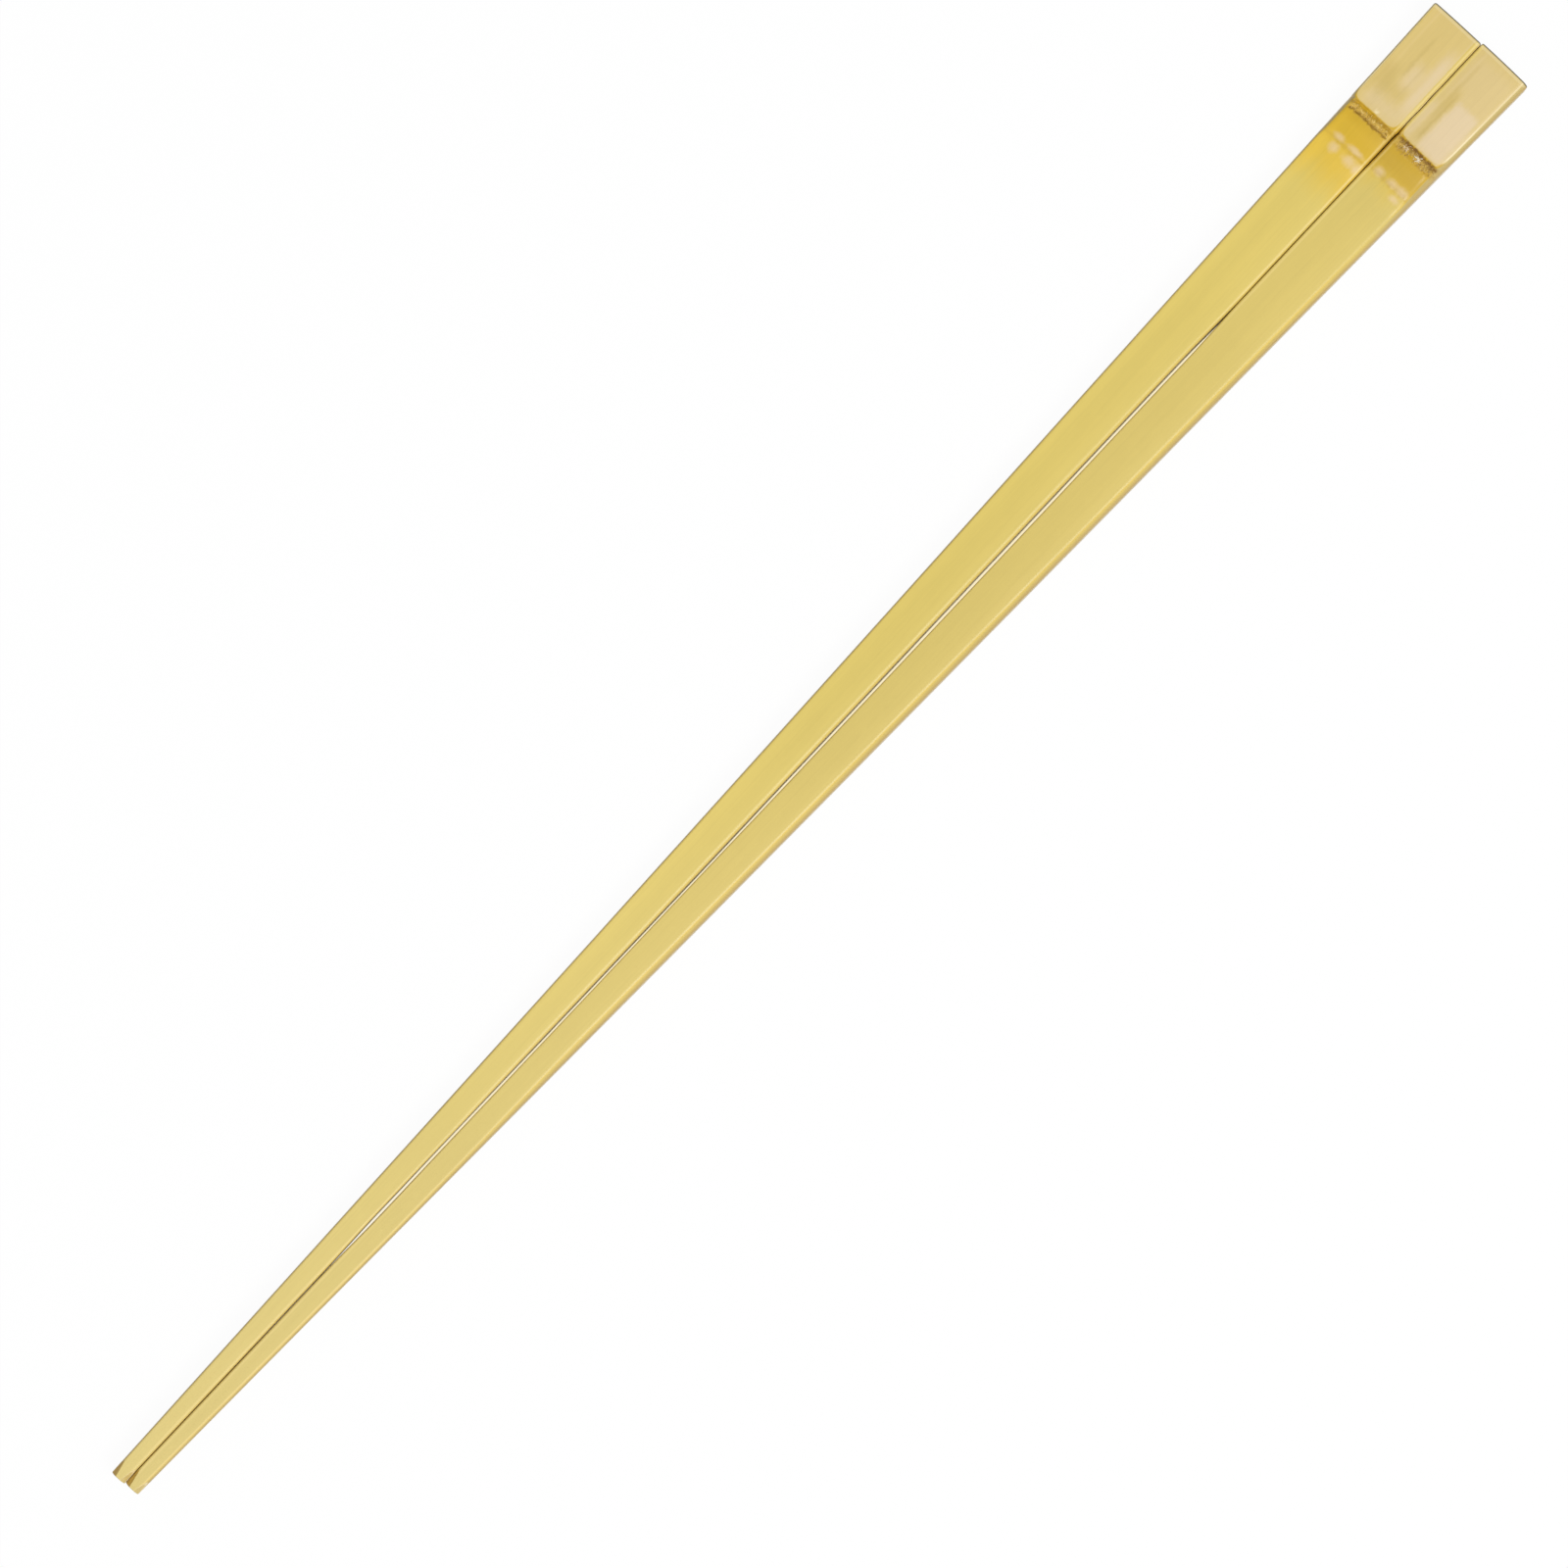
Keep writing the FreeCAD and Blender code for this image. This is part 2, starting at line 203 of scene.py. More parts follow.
def stations():
    """Places along the stick, closest at the ring, with the inset that rounds both ends over."""
    turn = np.radians(np.linspace(90.0, 0.0, 6))
    body = np.concatenate((
        np.arange(0.2, 4.0, 0.12), np.arange(4.0, 212.0, 1.0), np.arange(212.0, 219.0, 0.25),
        np.arange(219.0, 223.0, 0.08), np.arange(223.0, 225.8, 0.045), np.arange(225.8, 229.0, 0.2),
        np.arange(229.0, 239.6, 0.6)))
    tip = TIP_RIM * (1.0 - np.sin(turn))
    head = STICK_LENGTH - HEAD_RIM * (1.0 - np.sin(turn[::-1]))
    inset = np.concatenate((TIP_RIM * (1.0 - np.cos(turn)), np.zeros(len(body)),
                            HEAD_RIM * (1.0 - np.cos(turn[::-1]))))
    return np.concatenate((tip, body, head)), inset


def stick_surface(side, ring, scar, seed, edges, shoulders):
    """One stick's points in its own frame, as rows of rings, and what the five layers hold there.

    side is +1 for the left stick, whose inner face is on -y, and -1 for the right one. edges gives
    for each upper edge, first on +y and then on -y, how wide its rounding is near the tip, in the
    middle and near the head, and how many times deeper than wide. shoulders gives how much rounder
    it is at the ring, and how far beyond the scar that runs out in a quarter ellipse. A point is a
    mix of two corner centres plus the corner's radius in its own direction. The layers are how much
    is skin, how torn it is, how deep the tear, how much faces the other stick, and how much the
    belt has taken off: what stood proud of a slope, softened by half of h + sqrt(h^2 + k^2).
    """
    leave, reach, share, out, up = girth()
    x, inset = stations()
    x, inset = x[:, None], inset[:, None]

    upper, drops = [], []
    for (widths, depths), (rounder, run_out) in zip(edges, shoulders):
        before = eased(x, (ring - 4.5, ring - 1.2, ring + 1.0, ring + SCAR_END), (0.0, 0.45, 0.6, 1.0))
        beyond = np.clip(1.0 - (x - ring - SCAR_END) / run_out, 0.0, 1.0)
        beyond = 1.0 - np.sqrt(1.0 - beyond ** 2)
        more = rounder * np.where(x < ring + SCAR_END, before, beyond)
        upper.append(eased(x, EDGE_WIDTHS_AT, np.take(widths, (0, 1, 1, 2))) + more)
        drops.append(eased(x, EDGE_DEPTHS_AT, np.take(depths, (0, 1, 1, 2))))
    lower = x * 0.0 + BOTTOM_EDGE
    radius = np.maximum(np.concatenate((*upper, lower, lower), axis=1) - inset, SHARPEST_EDGE)
    drops = np.concatenate((*drops, lower * 0.0 + 1.0, lower * 0.0 + 1.0), axis=1)

    hollow = eased(x, HOLLOW_AT, HOLLOW_DEPTHS)
    hollow = hollow + side * LEFT_DEEPER * eased(x, LEFT_DEEPER_AT, UP_AND_DOWN)
    wave = SEAM_WAVE * np.sin((x - SEAM_WAVE_AT[0]) * SEAM_WAVE_TURN)
    wave = wave * eased(x, SEAM_WAVE_AT, UP_AND_DOWN)
    plain = half_width(x) - inset
    inner_half = plain - hollow
    plus, minus = (plain, inner_half) if side > 0 else (inner_half, plain)
    middle = np.concatenate((plus - radius[:, 0:1], radius[:, 1:2] - minus,
                             radius[:, 2:3] - minus, plus - radius[:, 3:4]), axis=1)
    reached = radius[:, leave] * (1.0 - share) + radius[:, reach] * share
    y = middle[:, leave] * (1.0 - share) + middle[:, reach] * share + reached * out
    y = y + wave * np.clip(-side * out, 0.0, 1.0)

    face, torn, sunk = outside_face(x + 0.0 * y, y, ring, scar, seed)
    is_top = np.array((1.0, 1.0, 0.0, 0.0))
    topness = is_top[leave] * (1.0 - share) + is_top[reach] * share
    drop = reached * (drops[:, leave] * (1.0 - share) + drops[:, reach] * share)
    high = face - RIM_DROP * inset - drop
    low = underside(x) + inset + reached
    z = high * topness + low * (1.0 - topness) + np.where(up > 0.0, drop, reached) * up

    proud = (np.abs(y) - GRIND_END_FLAT) * math.sin(GRIND_SLOPE) - GRIND_START * x / GRIND_LENGTH
    proud = proud + (np.abs(z - TIP_MIDDLE) - TIP_HALF_THICKNESS) * math.cos(GRIND_SLOPE)
    proud = 0.5 * (proud + np.sqrt(proud ** 2 + GRIND_SOFTNESS ** 2))
    proud = np.where(x < 1.5 * GRIND_LENGTH, proud, 0.0)
    y = y - np.sign(y) * proud * math.sin(GRIND_SLOPE)
    z = z - np.sign(z - TIP_MIDDLE) * proud * math.cos(GRIND_SLOPE)

    upward = np.maximum(up, 0.0) + 0.0 * y
    inward = -side * out + 0.0 * y
    inner = eased(inward, (0.7, 0.98), (0.0, 1.0))
    inner_skin = eased(upward, (0.25, 0.8), (0.0, 1.0))
    outer_skin = eased(upward, (0.6, 0.985), (0.0, 1.0))
    skin = np.where(inward > 0.0, inner_skin, outer_skin)
    skin = skin * eased(inset / HEAD_RIM, (0.02, 0.2), (1.0, 0.0))
    return x + 0.0 * y, y, z, skin, torn, sunk, inner, proud


def lay_down(x, y, z, side):
    """Own frame to metres: turned by the half angle, so the inner face lies along the seam.

    Both sticks share the strip's slight bow, a squared sine along their length.
    """
    turn = side * HALF_ANGLE
    base_x = -0.5 * STICK_LENGTH / math.cos(HALF_ANGLE) - side * 0.5 * SLID_APART
    base_y = side * (0.5 * RESTING_GAP + 0.5 * TIP_WIDTH * math.cos(HALF_ANGLE))
    world_x = base_x + x * math.cos(turn) - y * math.sin(turn)
    world_y = base_y + x * math.sin(turn) + y * math.cos(turn)
    world_y = world_y - COMMON_BOW * np.sin(np.pi * x / STICK_LENGTH) ** 2
    return np.stack((world_x, world_y, z), axis=-1) * MM


LAYERS = ("skin", "torn", "sunk", "inner", "ground")
END_HOOPS = (0.85, 0.65, 0.45, 0.25)


def close_stick(name, rings, side):
    """The closed mesh: quads between rings, and at each end flat hoops shrinking to a centre point.

    rings holds x, y and z and then the layers, which are all 0 on the end faces.
    """
    hoops = np.array(END_HOOPS)[:, None]
    count = rings[0].shape[1]
    stacked = []
    for values in rings[:3]:
        tip_centre, head_centre = values[0].mean(), values[-1].mean()
        tip = tip_centre + (values[0] - tip_centre) * hoops
        head = head_centre + (values[-1] - head_centre) * hoops
        rows = np.concatenate((tip[::-1], values, head)).ravel()
        stacked.append(np.append(rows, (tip[-1].mean(), head[-1].mean())))
    for values in rings[3:]:
        end = np.zeros((len(END_HOOPS), count))
        stacked.append(np.append(np.concatenate((end, values, end)).ravel(), (0.0, 0.0)))
    x, y, z, *layers = stacked
    rows = (len(x) - 2) // count

    ring, step = np.meshgrid(np.arange(rows - 1), np.arange(count), indexing="ij")
    here, after = ring * count + step, ring * count + (step + 1) % count
    quads = np.stack((here, after, after + count, here + count), axis=-1).reshape(-1, 4)
    step = np.arange(count)
    follow = (step + 1) % count
    last = (rows - 1) * count
    tip_fan = np.stack((np.full(count, rows * count), follow, step), axis=-1)
    head_fan = np.stack((np.full(count, rows * count + 1), last + step, last + follow), axis=-1)

    mesh = bpy.data.meshes.new(name)
    mesh.from_pydata(lay_down(x, y, z, side).tolist(), [],
                     quads.tolist() + tip_fan.tolist() + head_fan.tolist())
    mesh.polygons.foreach_set("use_smooth", np.ones(len(mesh.polygons), bool))
    cane = mesh.attributes.new("cane", "FLOAT_VECTOR", "POINT")
    cane.data.foreach_set("vector", np.stack((x, y, z), axis=-1).astype(np.float32).ravel())
    for label, values in zip(LAYERS, layers):
        layer = mesh.attributes.new(label, "FLOAT", "POINT")
        layer.data.foreach_set("value", values.astype(np.float32))
    mesh.validate()
    piece = bpy.data.objects.new(name, mesh)
    bpy.context.scene.collection.objects.link(piece)
    return piece


def colour(red, green, blue):
    """A colour as it is read off a screen, 0 to 255, made linear for the shaders."""
    parts = np.array((red, green, blue)) / 255.0
    linear = np.where(parts <= 0.04045, parts / 12.92, ((parts + 0.055) / 1.055) ** 2.4)
    return (*linear.tolist(), 1.0)


def wire(tree, kind, sockets, output=0, **settings):
    """Adds a node, sets it up, feeds its sockets with values or other outputs, gives its output."""
    node = tree.nodes.new(kind)
    for key, value in settings.items():
        setattr(node, key, value)
    for key, value in sockets.items():
        if isinstance(value, bpy.types.NodeSocket):
            tree.links.new(value, node.inputs[key])
        else:
            node.inputs[key].default_value = value
    return node.outputs[output] if node.outputs else None


AMBER = colour(230, 194, 72)
DEEP_GOLD = colour(206, 166, 36)
# Brown of the scar's pits, also used as painted shade in its deeper troughs.
PIT_BROWN_AND_SHADE = colour(100, 68, 24)
PANEL_STRAW = colour(223, 197, 124)
# Cream of the waxy panel, also used as painted sheen on it.
PANEL_CREAM_AND_SHEEN = colour(233, 210, 168)
PANEL_GOLD = colour(222, 196, 106)
# Painted highlight spots.
PAINTED_HIGHLIGHT_SPOT = colour(236, 208, 162)
# Painted highlight cream, for the panel's border, the head's end and the panel's shoulder.
RIM_HIGHLIGHT_CREAM = colour(250, 234, 190)
# The cut faces' straw, set darker as painted shade on the sides.
CUT_STRAW_AND_SHADE = colour(206, 178, 108)
END_GRAIN = colour(150, 126, 78)
# Painted shade on the head's rounded rim.
END_RIM_SHADE = colour(104, 98, 70)
# Painted highlight lines along the edges.
EDGE_HIGHLIGHT = colour(250, 226, 152)
# Warm painted sheen on the edges' upper rounding.
EDGE_SHEEN_WARM = colour(238, 196, 78)
# Painted grey shade on the outer flank.
FLANK_SHADE_GREY = colour(202, 190, 138)
# Ground flats: ivory that is partly painted light, and brown on the +y side as painted shade.
GROUND_IVORY_AND_LIGHT = colour(252, 234, 186)
GROUND_STRAW = colour(224, 202, 134)
GROUND_SHADE_BROWN = colour(196, 158, 72)
# Painted shade in the seam between the sticks.
SEAM_SHADE_BROWN = colour(104, 68, 0)
FIBRE_BROWN = colour(168, 130, 62)
FIBRE_GOLD = colour(214, 178, 88)
OLIVE = colour(204, 177, 102)
RAGGED_GRAIN = (1.6, 1.6, 1.6)
FIBRE_GRAIN = (0.03, 6.5, 6.5)
STREAK_GRAIN = (0.012, 0.9, 0.9)
DRIFT_GRAIN = (0.05, 0.1, 0.1)
MOTTLE_GRAIN = (0.35, 1.3, 1.3)
TEAR_GRAIN = (1.4, 2.2, 2.2)
PATCH_GRAIN = (0.8, 1.3, 1.3)
SPECK_GRAIN = (5.0, 7.0, 7.0)
BUNDLE_GRAIN = (0.012, 2.4, 0.9)
BUNDLE_CROWDING = 0.32
RIM_HIGHLIGHT_SKIN = (0.8, 0.94, 0.985, 1.0)
EDGE_SHEEN_SKIN = (0.78, 0.94, 0.985, 1.0)
FLANK_SKIN = (-0.1, 0.2, 0.6, 0.95)
SLIT_OPEN = (46.0, 60.0, 186.0, 200.0)
LINE_OFF_SEAM = (0.16, 0.28, 0.42, 0.58)
LINE_OFF_SIDE = (0.2, 0.32, 0.45, 0.6)
HEAD_HIGHLIGHT_AT = tuple(STICK_LENGTH - short for short in (0.75, 0.55, 0.4, 0.25))
HEAD_RIM_SHADE_AT = tuple(STICK_LENGTH - short for short in (0.34, 0.2, 0.04, 0.01))
PALE_STRETCHES = ((55.0, 82.0, 104.0, 128.0), (185.0, 200.0, 211.0, 218.0))
ROUGHNESS = 0.3
TORN_ROUGHER = 0.35
SPECULAR = 0.25
BUMP_STRENGTH = 0.6


def bamboo(name, ring, inner_side, seam_highlight, side_highlight, outer_side_sheen, rim_shade,
           straws, golds, scar_bands, pits, fleck, corners, patches_and_sheen, highlight_spots):
    """Polished bamboo in the stick's own millimetres: straw skin with long fine fibres, the ring's
    gold and torn brown, a waxy panel beyond it, and cut faces with the cane's bundles showing.
    Light and shade are painted in as well: highlights on the ring, the panel, the head and the
    edges, and shade in the seam, on the flanks, the head's rim, the tip's flats and the scar.

    A ramp goes from 0 to 1 as 3u^2 - 2u^3, a band is a ramp up times a ramp down, and each tone is
    laid over the one before by a share from 0 to 1. A grain says how many waves of noise there are
    to the millimetre, along, across and up.
    """
    material = bpy.data.materials.new(name)
    material.use_nodes = True
    tree = material.node_tree
    tree.nodes.clear()

    def calc(operation, a, b=0.0):
        return wire(tree, "ShaderNodeMath", {0: a, 1: b}, operation=operation)

    def times(a, b):
        return calc("MULTIPLY", a, b)

    def plus(a, b):
        return calc("ADD", a, b)

    def minus(a, b):
        return calc("SUBTRACT", a, b)

    def ramp(value, low, high):
        return wire(tree, "ShaderNodeMapRange", {0: value, 1: low, 2: high},
                    interpolation_type="SMOOTHSTEP")

    def band(value, low, high, fade_from, fade_to):
        return times(ramp(value, low, high), ramp(value, fade_to, fade_from))

    def blend(share, a, b):
        return wire(tree, "ShaderNodeMix", {0: share, 6: a, 7: b}, output=2, data_type="RGBA")

    def scaled(vector, along, across, up):
        return wire(tree, "ShaderNodeVectorMath", {0: vector, 1: (along, across, up)},
                    operation="MULTIPLY")

    def noise(grain, detail=2.0, rough=0.5):
        return wire(tree, "ShaderNodeTexNoise", {
            "Vector": scaled(cane, *grain), "Scale": 1.0, "Detail": detail, "Roughness": rough})

    def centred(value, spread):
        return times(minus(value, 0.5), spread)

    def ellipse(at_x, at_y, reach_x, reach_y):
        away = wire(tree, "ShaderNodeVectorMath", {0: cane, 1: (-at_x, -at_y, 0.0)}, operation="ADD")
        away = scaled(away, 1.0 / reach_x, 1.0 / reach_y, 0.0)
        away = wire(tree, "ShaderNodeVectorMath", {0: away}, output=1, operation="LENGTH")
        return ramp(plus(away, centred(ragged, 0.8)), 1.5, 0.2)

    def oblong(x_from, x_to, y_from, y_to, soft_x, soft_y):
        along = band(wavy_x, x_from - soft_x, x_from + soft_x, x_to - soft_x, x_to + soft_x)
        across = band(wavy_y, y_from - soft_y, y_from + soft_y, y_to - soft_y, y_to + soft_y)
        return times(along, across)

    def past_corner(at_x, at_y, reach_x, reach_y, facing):
        short = calc("MAXIMUM", times(minus(at_x, x), 1.0 / reach_x), 0.0)
        wide = calc("MAXIMUM", times(minus(y, at_y), facing / reach_y), 0.0)
        away = calc("SQRT", plus(times(short, short), times(wide, wide)))
        return ramp(plus(away, centred(ragged, 0.2)), 0.88, 1.08)

    # The stick's own coordinates and layers, and the grain at four scales.
    cane = wire(tree, "ShaderNodeAttribute", {}, output="Vector", attribute_name="cane")
    skin, torn, sunk, inner, ground = (
        wire(tree, "ShaderNodeAttribute", {}, output="Fac", attribute_name=label) for label in LAYERS)
    split = tree.nodes.new("ShaderNodeSeparateXYZ")
    tree.links.new(cane, split.inputs[0])
    x, y, z = split.outputs
    ragged = noise(RAGGED_GRAIN, 3.0)
    wavy_x = plus(x, centred(ragged, 0.9))
    wavy_y = plus(y, centred(ragged, 0.45))
    fine = noise(FIBRE_GRAIN, 4.0, 0.6)
    broad = noise(STREAK_GRAIN, 3.0)
    drift = noise(DRIFT_GRAIN)

    # The skin up to the ring: straw, then amber, then gold, a hairline, and painted highlight spots.
    straw = blend(ramp(x, -20.0, 150.0), *straws)
    amber_from, gold_from, gold = golds
    amber = ramp(plus(wavy_x, centred(broad, 4.0)), amber_from, amber_from + 6.5)
    face = blend(amber, straw, AMBER)
    face = blend(ramp(wavy_x, gold_from, gold_from + 3.0), face, gold)
    face = blend(times(ramp(x, ring - 0.4, ring + 1.2), 0.6), face, DEEP_GOLD)
    for spot in highlight_spots:
        face = blend(times(ellipse(*spot), 0.65), face, PAINTED_HIGHLIGHT_SPOT)
    hairline = ramp(calc("ABSOLUTE", minus(wavy_x, ring - GROOVE_BEHIND_RING)), 0.45, 0.0)
    face = blend(times(hairline, 0.18), face, FIBRE_BROWN)

    # The panel beyond the scar, with its round corners; painted grey shade on the outer flank, and a
    # painted highlight line along the panel's rounded border.
    panel = blend(times(ramp(broad, 0.42, 0.62), 0.3), PANEL_STRAW, PANEL_CREAM_AND_SHEEN)
    # Patches on the panel: olive and straw tone, cream partly as painted sheen, and a painted
    # highlight.
    for tint, share, *patch in patches_and_sheen:
        panel = blend(times(oblong(*patch), share), panel, tint)
    beyond = ramp(x, ring + SCAR_END - 0.2, ring + SCAR_END + 0.15)
    face = blend(ramp(x, ring + 3.2, ring + 4.4), face, PANEL_GOLD)
    flat = ramp(skin, 0.6, 1.0)
    for corner in corners:
        flat = times(flat, minus(1.0, past_corner(*corner)))
    face = blend(times(beyond, flat), face, panel)
    towards_seam = times(y, inner_side)
    # Painted grey shade on the outer flank, from just before the ring on.
    flank_shade = times(ramp(skin, 0.97, 0.6), ramp(towards_seam, 0.0, -0.5))
    face = blend(times(times(flank_shade, ramp(x, ring - 10.0, ring - 4.0)), 0.8), face, FLANK_SHADE_GREY)
    # A painted highlight line along the panel's rounded border.
    rim = times(band(skin, *RIM_HIGHLIGHT_SKIN), ramp(x, ring + 3.4, ring + 4.6))
    face = blend(times(rim, plus(0.5, times(ramp(x, 234.0, 230.0), 0.4))), face, RIM_HIGHLIGHT_CREAM)

    # Painted highlight lines along the edges, where the sticks touch and along the outer side of the
    # tip.
    half = plus(times(x, math.tan(HALF_ANGLE)), 0.5 * TIP_WIDTH)
    off_seam = minus(half, towards_seam)
    off_side = plus(half, towards_seam)
    touching = minus(1.0, band(x, *SLIT_OPEN))
    line = times(band(off_seam, *LINE_OFF_SEAM), touching)
    face = blend(times(line, seam_highlight), face, EDGE_HIGHLIGHT)
    line = times(band(off_side, *LINE_OFF_SIDE), ramp(x, 70.0, 30.0))
    face = blend(times(line, side_highlight), face, EDGE_HIGHLIGHT)

    # The cut faces with their bundles, in a straw that is partly their own colour and partly painted
    # shade; the end grain; painted shade in the seam; a painted highlight and painted shade at the
    # head's rim; and the ground flats, ivory partly as painted light, and brown on the +y side as
    # painted shade.
    along, across, up = BUNDLE_GRAIN
    bundle = wire(tree, "ShaderNodeCombineXYZ", {
        0: times(x, along), 1: times(y, across), 2: times(z, plus(times(z, BUNDLE_CROWDING), up))})
    bundle = wire(tree, "ShaderNodeTexVoronoi", {"Vector": bundle, "Scale": 1.0, "Randomness": 0.9})
    bundle = ramp(bundle, 0.42, 0.16)
    at_end = plus(ramp(x, STICK_LENGTH - 0.22, STICK_LENGTH - 0.1), ramp(x, 0.08, 0.0))
    cut = blend(at_end, CUT_STRAW_AND_SHADE, END_GRAIN)
    cut = blend(times(bundle, 0.35), cut, FIBRE_BROWN)
    face = blend(times(bundle, 0.03), face, FIBRE_BROWN)
    # Painted shade on the inner faces, deepest where the sticks touch.
    seam_shade_share = times(inner, plus(0.12, times(touching, 0.85)))
    tone = blend(skin, blend(seam_shade_share, cut, SEAM_SHADE_BROWN), face)
    # A painted highlight just inside the head's end.
    head_highlight = times(band(x, *HEAD_HIGHLIGHT_AT), ramp(skin, 0.0, 0.3))
    tone = blend(times(head_highlight, 0.3), tone, RIM_HIGHLIGHT_CREAM)
    # Painted shade on the head's rounded rim.
    tone = blend(times(band(x, *HEAD_RIM_SHADE_AT), 0.85), tone, END_RIM_SHADE)
    # The ground flats: ivory partly as painted light, brown on the +y side as painted shade.
    belt = blend(ramp(ground, 0.06, 0.12), GROUND_IVORY_AND_LIGHT, GROUND_STRAW)
    belt = blend(ramp(y, -0.25, 0.25), belt, GROUND_SHADE_BROWN)
    belt = blend(times(ramp(fine, 0.52, 0.7), 0.3), belt, FIBRE_BROWN)
    tone = blend(times(ramp(ground, 0.01, 0.05), 0.9), tone, belt)

    # The scar: bands of torn fibre, each from its own place on, with pits, painted shade where the
    # tear is deeper, and a fleck of gold.
    from_ring = plus(minus(x, ring), centred(noise(TEAR_GRAIN, 3.0, 0.65), 0.7))
    scar = gold
    for place, soft, tint in scar_bands:
        scar = blend(ramp(from_ring, place - soft, place + soft), scar, tint)
    patchy = ramp(noise(PATCH_GRAIN, 3.0, 0.6), 0.46, 0.62)
    scar = blend(times(patchy, 0.4), scar, FIBRE_GOLD)
    speck = ramp(noise(SPECK_GRAIN, 2.0, 0.6), 0.54, 0.38)
    pit_from, pit_to, pit_share = pits
    among = band(from_ring, pit_from - 0.15, pit_from + 0.15, pit_to - 0.15, pit_to + 0.15)
    scar = blend(times(times(speck, among), pit_share), scar, PIT_BROWN_AND_SHADE)
    # Painted shade in the tear's deeper troughs.
    scar = blend(times(ramp(sunk, 0.16, 0.30), 0.25), scar, PIT_BROWN_AND_SHADE)
    scar = blend(times(ellipse(*fleck), 0.8), scar, DEEP_GOLD)
    tone = blend(torn, tone, scar)

    # A warm painted sheen on the edges' upper rounding, and how light or dark each place is: by its
    # grain and paler stretches, by painted sheen on the edges and the outer side, and by painted shade
    # on the outer rim.
    edge_sheen = band(skin, *EDGE_SHEEN_SKIN)
    tone = blend(times(times(edge_sheen, ramp(x, ring - 8.0, ring - 20.0)), 0.3), tone, EDGE_SHEEN_WARM)
    grain = plus(centred(fine, 0.09), plus(centred(broad, 0.06), centred(drift, 0.05)))
    middle, neck = PALE_STRETCHES
    shade = plus(plus(grain, times(band(x, *middle), 0.025)), centred(noise(MOTTLE_GRAIN), 0.05))
    shade = plus(shade, times(edge_sheen, 0.03))
    shade = plus(shade, times(band(x, *neck), 0.03))
    # Painted sheen towards the outer side.
    shade = plus(shade, times(times(ramp(off_side, 2.4, 0.6), ramp(x, 60.0, 85.0)), outer_side_sheen))
    rim_band = times(band(skin, *FLANK_SKIN), ramp(towards_seam, 0.0, -0.5))
    shade = minus(shade, times(rim_band, rim_shade))
    tone = wire(tree, "ShaderNodeVectorMath", {0: tone, 3: plus(shade, 1.0)}, operation="SCALE")

    rough = plus(plus(ROUGHNESS, centred(fine, 0.15)), times(torn, TORN_ROUGHER))
    relief = plus(times(fine, 0.012), times(bundle, 0.004))
    bump = wire(tree, "ShaderNodeBump", {"Height": relief, "Distance": MM, "Strength": BUMP_STRENGTH})
    shader = wire(tree, "ShaderNodeBsdfPrincipled", {
        "Base Color": tone, "Roughness": rough, "Normal": bump, "Specular IOR Level": SPECULAR})
    wire(tree, "ShaderNodeOutputMaterial", {"Surface": shader})
    return material


left_stick = close_stick("left_stick", stick_surface(
    +1, LEFT_RING, LEFT_SCAR, LEFT_SEED,
    edges=(((0.34, 0.36, 0.36), (2.0, 2.0, 2.0)), ((0.34, 0.62, 0.32), (1.9, 0.45, 1.9))),
    shoulders=((0.6, 1.2), (0.5, 1.2))), +1)
left_stick.data.materials.append(bamboo(
    "left_bamboo_finish", LEFT_RING, inner_side=-1.0,
    # Weights of the painted highlights by the seam and on the outer side, of the painted sheen towards
    # the outer side, and of the painted shade on the outer rim.
    seam_highlight=0.5, side_highlight=0.0, outer_side_sheen=0.05, rim_shade=0.16,
    straws=(colour(230, 209, 134), colour(223, 200, 107)),
    golds=(211.0, 218.0, colour(219, 180, 52)),
    scar_bands=((1.1, 0.25, colour(166, 128, 44)), (1.65, 0.2, colour(222, 184, 82)),
                (2.15, 0.2, colour(186, 147, 46)), (2.72, 0.15, colour(208, 176, 98))),
    pits=(1.3, 2.4, 0.25), fleck=(224.6, 1.2, 0.3, 1.6),
    corners=((226.0, -2.0, 1.15, 1.1, -1.0), (225.8, 2.4, 1.0, 1.0, 1.0)),
    # Panel patches: the cream ones are partly painted sheen, the pale-rim one a painted highlight.
    patches_and_sheen=((PANEL_CREAM_AND_SHEEN, 0.85, 227.4, 236.2, -3.0, -1.7, 1.8, 0.7),
             (PANEL_CREAM_AND_SHEEN, 0.5, 225.0, 227.4, -3.0, 2.6, 1.6, 0.8),
             (RIM_HIGHLIGHT_CREAM, 0.8, 225.0, 225.45, -0.3, 0.2, 0.2, 0.2),
             (PANEL_CREAM_AND_SHEEN, 0.6, 229.4, 232.9, -1.4, 0.4, 1.3, 0.7),
             (OLIVE, 0.5, 227.2, 231.0, 1.3, 3.2, 1.4, 0.7),
             (OLIVE, 0.3, 227.4, 229.4, -1.2, 1.6, 1.0, 0.6),
             (OLIVE, 0.55, 230.6, 236.6, 0.55, 0.85, 1.0, 0.3),
             (OLIVE, 0.3, 229.0, 233.5, -0.9, -0.6, 1.0, 0.25)),
    # Painted highlight spots on the ring's crest and the panel's shoulder.
    highlight_spots=((218.5, 0.9, 0.7, 0.7), (218.5, -1.6, 0.7, 1.0), (218.4, -2.9, 0.7, 0.5),
                (219.9, 1.2, 0.45, 0.8), (219.9, -1.4, 0.4, 1.2), (225.2, 0.2, 0.25, 0.3))))
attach(left_stick, "root")
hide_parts("left_chopstick")


